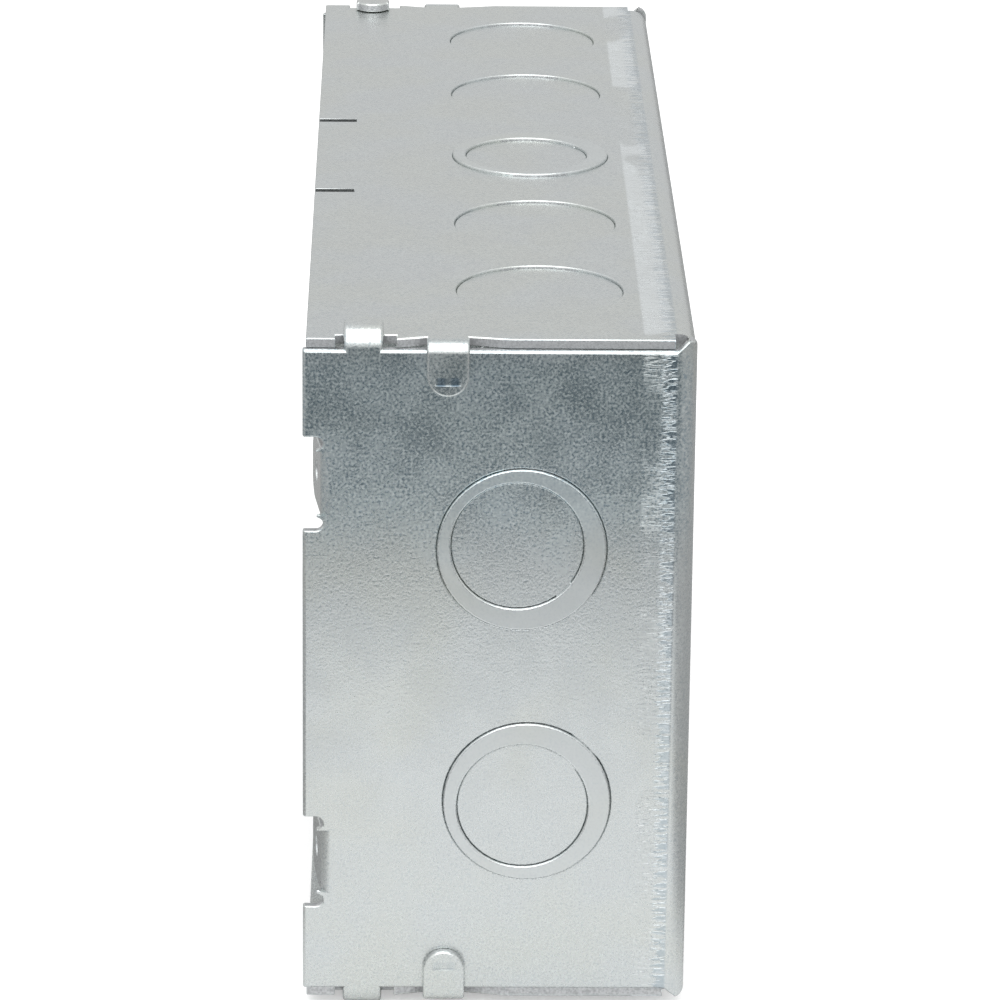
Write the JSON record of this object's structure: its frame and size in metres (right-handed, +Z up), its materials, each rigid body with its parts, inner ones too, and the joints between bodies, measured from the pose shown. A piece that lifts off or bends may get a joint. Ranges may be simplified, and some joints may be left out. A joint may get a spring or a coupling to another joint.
{
  "type": "three-gang electrical box",
  "caption": "Long open-fronted electrical box folded from one galvanised steel sheet, with knockouts, cover ears, partition slits and folded lock tabs.",
  "frame": {"origin": "middle of the box in X and Y, at the lowest face of the lock tabs folded under the lower long wall", "axes": "+X along the gangs, +Y from the open front to the back, +Z up across the gangs, as the box is fixed in a wall with its devices side by side"},
  "size_m": [0.2226, 0.0636, 0.1185],
  "materials": {
    "galvanised_steel": "hot-dip galvanised, dull spangle"
  },
  "bodies": {
    "root": {"box_body": "galvanised_steel"}
  },
  "joints": []
}
